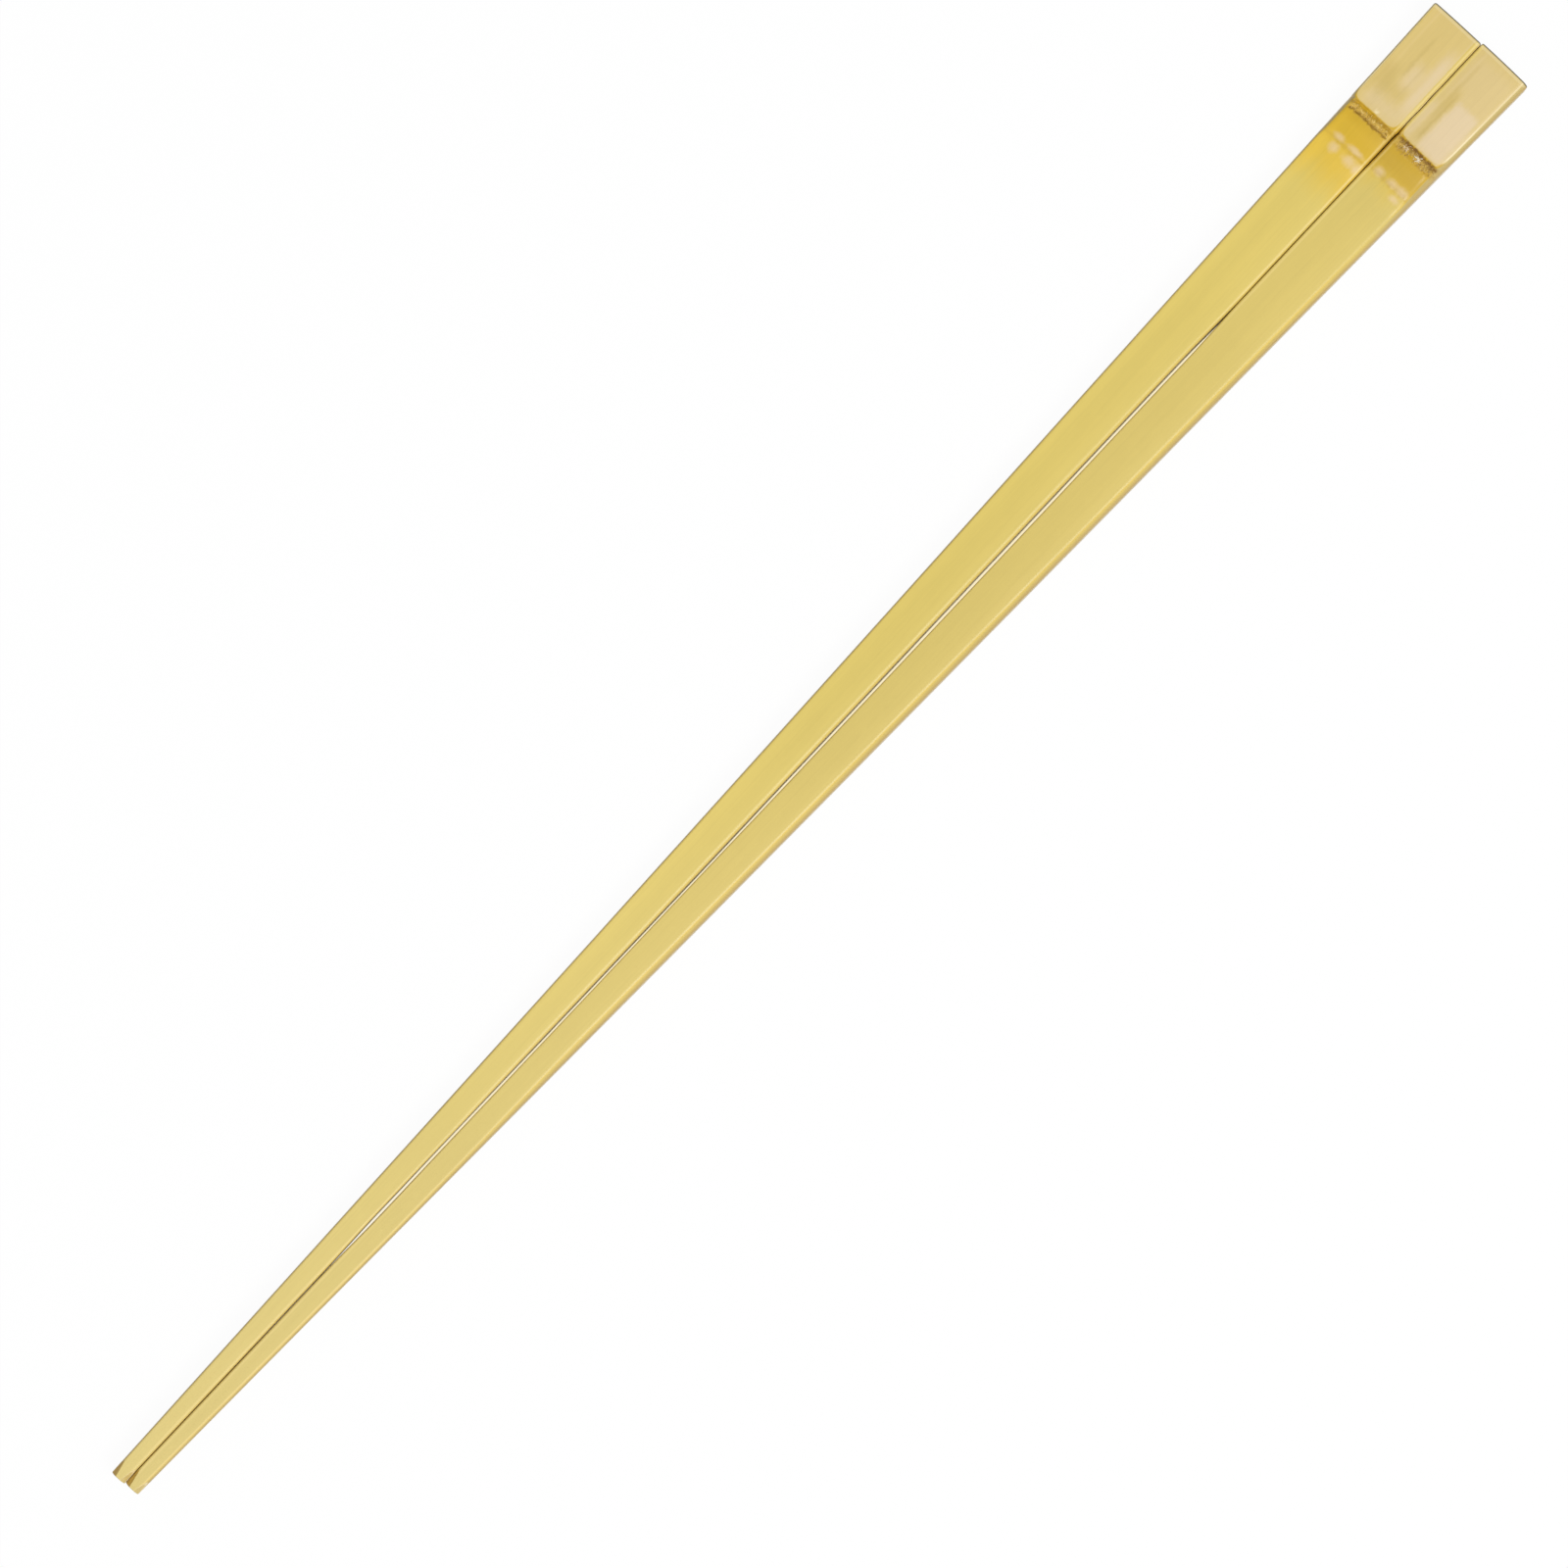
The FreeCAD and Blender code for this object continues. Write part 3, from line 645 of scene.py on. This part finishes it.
# Fibres torn loose in the left stick's scar, where the sheath was pulled off: short golden strands
# that lie mostly along the cane.
STRAND_RINGS = 8
STRAND_SIDES = 6
STRAND_END = 0.97
STRAND_ARCH = 2.6
ROOT_SUNK = 0.01
STRAND_TONES_PER_METRE = 2600.0
FIBRE_ROUGHNESS = 0.6
FIBRE_SPECULAR = 0.3


def torn_fibres(name, side, ring, scar, face_seed, roots, heading, length, thickness, rise):
    """Loose fibres in one mesh: round strands that arch over and thin out to a point.

    With u from 0 at a strand's root to 0.97 at its end, it runs straight in plan along its heading,
    stands above the torn face by rise * sin(2.6 u), and its radius is thickness * sqrt(1 - u^2.5).
    """
    u = np.linspace(0.0, STRAND_END, STRAND_RINGS)[None, :, None]
    turn = np.linspace(0.0, 2.0 * np.pi, STRAND_SIDES + 1)[None, None, :-1]
    root_x, root_y, heading, length, thickness, rise = (
        np.asarray(values)[:, None, None] for values in (*roots, heading, length, thickness, rise))
    floor_z = outside_face(root_x, root_y, ring, scar, face_seed)[0] - ROOT_SUNK
    radius = thickness * np.sqrt(1.0 - u ** 2.5)
    aside = radius * np.cos(turn)
    x = root_x + length * u * np.cos(heading) - aside * np.sin(heading)
    y = root_y + length * u * np.sin(heading) + aside * np.cos(heading)
    z = floor_z + rise * np.sin(STRAND_ARCH * u) + radius * np.sin(turn)
    count, rings, steps = x.shape
    x, y, z = (
        np.concatenate((values.ravel(), values[:, 0].mean(axis=1), values[:, -1].mean(axis=1)))
        for values in (x, y, z))

    strand, ring_at, step = np.meshgrid(
        np.arange(count), np.arange(rings - 1), np.arange(steps), indexing="ij")
    first = (strand * rings + ring_at) * steps
    here, after = first + step, first + (step + 1) % steps
    quads = np.stack((here, after, after + steps, here + steps), axis=-1).reshape(-1, 4)
    strand, step = np.meshgrid(np.arange(count), np.arange(steps), indexing="ij")
    start, stop = strand * rings * steps, (strand * rings + rings - 1) * steps
    follow = (step + 1) % steps
    root_pole, tip_pole = count * rings * steps + strand, count * rings * steps + count + strand
    root_fan = np.stack((root_pole, start + follow, start + step), axis=-1).reshape(-1, 3)
    tip_fan = np.stack((tip_pole, stop + step, stop + follow), axis=-1).reshape(-1, 3)

    mesh = bpy.data.meshes.new(name)
    mesh.from_pydata(lay_down(x, y, z, side).tolist(), [],
                     quads.tolist() + root_fan.tolist() + tip_fan.tolist())
    mesh.polygons.foreach_set("use_smooth", np.ones(len(mesh.polygons), bool))
    piece = bpy.data.objects.new(name, mesh)
    bpy.context.scene.collection.objects.link(piece)
    return piece


def fibre_finish(name, pale, dark):
    """Dry torn fibre, paler and darker from one strand to the next."""
    material = bpy.data.materials.new(name)
    material.use_nodes = True
    tree = material.node_tree
    tree.nodes.clear()
    place = wire(tree, "ShaderNodeTexCoord", {}, output="Object")
    varied = wire(tree, "ShaderNodeTexNoise", {
        "Vector": place, "Scale": STRAND_TONES_PER_METRE, "Detail": 2.0})
    varied = wire(tree, "ShaderNodeMapRange", {0: varied, 1: 0.4, 2: 0.6})
    tone = wire(tree, "ShaderNodeMix", {0: varied, 6: pale, 7: dark}, output=2, data_type="RGBA")
    shader = wire(tree, "ShaderNodeBsdfPrincipled", {
        "Base Color": tone, "Roughness": FIBRE_ROUGHNESS, "Specular IOR Level": FIBRE_SPECULAR})
    wire(tree, "ShaderNodeOutputMaterial", {"Surface": shader})
    return material


chance = np.random.default_rng(5)
count = 95
left_fibres = torn_fibres(
    "left_scar_fibres", +1, LEFT_RING, LEFT_SCAR, LEFT_SEED,
    roots=(LEFT_RING + chance.uniform(1.65, 2.2, count), chance.uniform(-2.9, 3.0, count)),
    heading=chance.normal(0.0, 0.6, count) + np.pi * chance.integers(0, 2, count),
    length=chance.uniform(0.15, 0.45, count), thickness=chance.uniform(0.02, 0.04, count),
    rise=chance.uniform(0.02, 0.08, count))
left_fibres.data.materials.append(
    fibre_finish("left_fibre_finish", pale=colour(250, 226, 146), dark=colour(176, 136, 40)))
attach(left_fibres, "root")


# The right stick, the left one's mirror image from the same strip of cane: it has slid 0.2 mm
# towards the head, its outer edge is rounded a little more, and its panel keeps more of the wax,
# with a pale patch on it that is painted sheen.
RIGHT_RING = 222.25
RIGHT_SEED = 47
RIGHT_SCAR = ((1.1, 1.6, 2.1, 2.4, 2.62, SCAR_END), (0.0, 0.10, 0.12, 0.22, 0.28, 0.0))
right_stick = close_stick("right_stick", stick_surface(
    -1, RIGHT_RING, RIGHT_SCAR, RIGHT_SEED,
    edges=(((0.28, 0.22, 0.22), (2.0, 1.4, 2.2)), ((0.52, 0.95, 0.95), (1.0, 1.0, 1.0))),
    shoulders=((0.4, 1.0), (0.7, 3.0))), -1)
right_stick.data.materials.append(bamboo(
    "right_bamboo_finish", RIGHT_RING, inner_side=1.0,
    # Weights of the painted highlights by the seam and on the outer side, of the painted sheen towards
    # the outer side, and of the painted shade on the outer rim.
    seam_highlight=0.3, side_highlight=0.4, outer_side_sheen=0.02, rim_shade=0.0,
    straws=(colour(227, 206, 131), colour(221, 198, 111)),
    golds=(215.8, 218.6, colour(208, 171, 60)),
    scar_bands=((1.0, 0.3, colour(194, 154, 48)), (1.5, 0.25, colour(206, 170, 78)),
                (2.0, 0.2, colour(180, 144, 68)), (2.35, 0.18, colour(140, 103, 46)),
                (2.72, 0.1, colour(184, 152, 90))),
    pits=(1.5, 2.6, 0.5), fleck=(223.8, 0.6, 0.4, 0.7),
    corners=((227.9, -1.9, 2.95, 1.45, -1.0), (225.9, 2.4, 0.9, 0.95, 1.0)),
    # Panel patches: the cream ones are partly painted sheen.
    patches_and_sheen=((PANEL_CREAM_AND_SHEEN, 0.6, 225.0, 231.0, -3.2, 3.4, 1.2, 0.8),
             (PANEL_CREAM_AND_SHEEN, 1.0, 225.4, 232.6, -2.5, 0.9, 0.6, 0.4),
             (PANEL_CREAM_AND_SHEEN, 0.3, 232.0, 239.0, -3.0, 3.0, 1.5, 1.0),
             (PANEL_STRAW, 0.6, 224.8, 234.0, 1.1, 2.5, 1.0, 0.4),
             (OLIVE, 0.3, 225.6, 233.4, 1.2, 2.3, 1.2, 0.4),
             (OLIVE, 0.7, 226.4, 233.0, 1.4, 1.7, 1.0, 0.25),
             (OLIVE, 0.35, 229.0, 238.0, 1.9, 2.3, 1.0, 0.3)),
    # Painted highlight spots on the ring's crest.
    highlight_spots=((219.9, 2.0, 0.6, 0.7), (219.9, -0.2, 0.5, 0.8), (219.9, -1.8, 0.6, 0.9),
                (218.6, -1.6, 0.45, 0.8))))
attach(right_stick, "root")
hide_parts("right_chopstick")


# Fibres torn loose in the right stick's scar: greyish brown strands, and two tufts, one white and
# one beige.
chance = np.random.default_rng(8)
count = 90
right_fibres = torn_fibres(
    "right_scar_fibres", -1, RIGHT_RING, RIGHT_SCAR, RIGHT_SEED,
    roots=(RIGHT_RING + chance.uniform(1.1, 2.5, count), chance.uniform(-2.8, 2.7, count)),
    heading=chance.normal(0.0, 0.9, count) + np.pi * chance.integers(0, 2, count),
    length=chance.uniform(0.15, 0.45, count), thickness=chance.uniform(0.02, 0.04, count),
    rise=chance.uniform(0.02, 0.08, count))
right_fibres.data.materials.append(
    fibre_finish("right_fibre_finish", pale=colour(226, 200, 132), dark=colour(156, 118, 56)))
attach(right_fibres, "root")

for tuft_name, tuft_x, tuft_y, count, tuft_pale, tuft_dark in (
        ("right_white_tuft", 224.2, -0.25, 20, colour(255, 250, 232), colour(228, 208, 164)),
        ("right_beige_tuft", 224.35, 1.6, 14, colour(236, 212, 170), colour(206, 176, 128))):
    tuft = torn_fibres(
        tuft_name, -1, RIGHT_RING, RIGHT_SCAR, RIGHT_SEED,
        roots=(tuft_x + chance.normal(0.0, 0.14, count), tuft_y + chance.normal(0.0, 0.18, count)),
        heading=chance.uniform(0.0, 2.0 * np.pi, count), length=chance.uniform(0.18, 0.42, count),
        thickness=chance.uniform(0.05, 0.075, count), rise=chance.uniform(0.04, 0.09, count))
    tuft.data.materials.append(fibre_finish(tuft_name + "_finish", tuft_pale, tuft_dark))
    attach(tuft, "root")


# The table top under the pair: a matt white sheet, just clear of their undersides, so the sticks'
# own shadow stays on it. Below the slit between them its light has come off bamboo, so it is cream
# there, half a millimetre wide, and plain towards the tips.
SHEET_REACH = 3.0
SHEET_TOP = -0.02 * MM
SHEET_GREY = (0.6, 0.6, 0.6, 1.0)
SHEET_GLOW = 1.03
GLOW_SHARE = 0.93
PLAIN = (1.0, 1.0, 1.0, 1.0)
CREAM = colour(255, 240, 200)
SLIT_MIDDLE = 0.07 * MM
SLIT_EDGE = (0.36 * MM, 0.22 * MM)
SLIT_ENDS = ((-0.095, -0.065), (0.09, 0.075))


def seen_directly(tree):
    """1 for a ray that the camera sees, straight or by way of gloss or glass, and 0 for light."""
    ray = tree.nodes.new("ShaderNodeLightPath").outputs
    seen = wire(tree, "ShaderNodeMath", {0: ray["Is Camera Ray"], 1: ray["Is Glossy Ray"]},
                operation="MAXIMUM")
    return wire(tree, "ShaderNodeMath", {0: seen, 1: ray["Is Transmission Ray"]}, operation="MAXIMUM")


floor_mesh = bpy.data.meshes.new("floor")
floor_mesh.from_pydata(
    [(SHEET_REACH * x, SHEET_REACH * y, SHEET_TOP) for x, y in ((-1, -1), (1, -1), (1, 1), (-1, 1))],
    [], [(0, 1, 2, 3)])
floor = bpy.data.objects.new("floor", floor_mesh)
bpy.context.scene.collection.objects.link(floor)
paper = bpy.data.materials.new("white_paper")
paper.use_nodes = True
sheet = paper.node_tree
sheet.nodes.clear()
place = wire(sheet, "ShaderNodeTexCoord", {}, output="Object")
box = sheet.nodes.new("ShaderNodeSeparateXYZ")
sheet.links.new(place, box.inputs[0])
off_slit = wire(sheet, "ShaderNodeMath", {0: box.outputs["Y"], 1: SLIT_MIDDLE}, operation="SUBTRACT")
off_slit = wire(sheet, "ShaderNodeMath", {0: off_slit}, operation="ABSOLUTE")
slit = wire(sheet, "ShaderNodeMapRange", {0: off_slit, 1: SLIT_EDGE[0], 2: SLIT_EDGE[1]})
for start, full in SLIT_ENDS:
    covered = wire(sheet, "ShaderNodeMapRange", {0: box.outputs["X"], 1: start, 2: full})
    slit = wire(sheet, "ShaderNodeMath", {0: slit, 1: covered}, operation="MULTIPLY")
warmed = wire(sheet, "ShaderNodeMix", {0: slit, 6: PLAIN, 7: CREAM}, output=2, data_type="RGBA")
glow = wire(sheet, "ShaderNodeEmission", {"Color": warmed, "Strength": SHEET_GLOW})
matt = wire(sheet, "ShaderNodeBsdfDiffuse", {"Color": SHEET_GREY})
share = wire(sheet, "ShaderNodeMath", {0: seen_directly(sheet), 1: GLOW_SHARE}, operation="MULTIPLY")
mixed = wire(sheet, "ShaderNodeMixShader", {0: share, 1: matt, 2: glow})
wire(sheet, "ShaderNodeOutputMaterial", {"Surface": mixed})
floor_mesh.materials.append(paper)


# The studio: a white room all round, darker at the walls than overhead, and one soft square lamp
# above the right-hand side of the pair.
WALL_LIGHT = 0.15
CEILING_LIGHT = 0.70
LAMP_LEAN = math.radians(24.0)
LAMP_SIZE = 0.35
LAMP_POWER = 5.1
world = bpy.data.worlds.new("white_room")
bpy.context.scene.world = world
world.use_nodes = True
room = world.node_tree
room.nodes.clear()
where = wire(room, "ShaderNodeTexCoord", {}, output="Generated")
split = room.nodes.new("ShaderNodeSeparateXYZ")
room.links.new(where, split.inputs[0])
overhead = wire(room, "ShaderNodeMapRange", {
    0: split.outputs["Z"], 1: 0.0, 2: 1.0, 3: WALL_LIGHT, 4: CEILING_LIGHT})
level = wire(room, "ShaderNodeMix", {0: seen_directly(room), 2: overhead, 3: 1.0})
white = wire(room, "ShaderNodeBackground", {"Color": PLAIN, "Strength": level})
wire(room, "ShaderNodeOutputWorld", {"Surface": white})

lamp_data = bpy.data.lights.new("key_lamp", "AREA")
lamp_data.shape = "SQUARE"
lamp_data.size = LAMP_SIZE
lamp_data.energy = LAMP_POWER
lamp = bpy.data.objects.new("key_lamp", lamp_data)
lamp.location = (0.0, -math.sin(LAMP_LEAN), math.cos(LAMP_LEAN))
lamp.rotation_euler = (LAMP_LEAN, 0.0, 0.0)
bpy.context.scene.collection.objects.link(lamp)


# The camera, as the photograph was taken: from straight above with a long lens, leaning 2 degrees
# to the right-hand stick's side, and turned so that the heads point up and to the right.
LEAN = math.radians(2.0)
ROLL = math.radians(46.687)
LENS = 135.0
SENSOR = 36.0
CLIP_START = 0.01
PICTURE_WIDTH = 1600.0
PIXELS_PER_MM = 8.42
VIEW_WIDTH = PICTURE_WIDTH / PIXELS_PER_MM * MM
LOOKED_AT = Vector((-3.45, 0.0, 4.9)) * MM
backward = Vector((0.0, -math.sin(LEAN), math.cos(LEAN)))
along = Vector((1.0, 0.0, 0.0))
across = backward.cross(along)
right = along * math.cos(ROLL) - across * math.sin(ROLL)
above = along * math.sin(ROLL) + across * math.cos(ROLL)
camera_data = bpy.data.cameras.new("camera")
camera_data.lens = LENS
camera_data.sensor_width = SENSOR
camera_data.clip_start = CLIP_START
camera = bpy.data.objects.new("camera", camera_data)
place = Matrix((right, above, backward)).transposed().to_4x4()
place.translation = LOOKED_AT + backward * (VIEW_WIDTH * LENS / SENSOR)
camera.matrix_world = place
bpy.context.scene.collection.objects.link(camera)
bpy.context.scene.camera = camera
bpy.context.scene.view_settings.view_transform = "Standard"
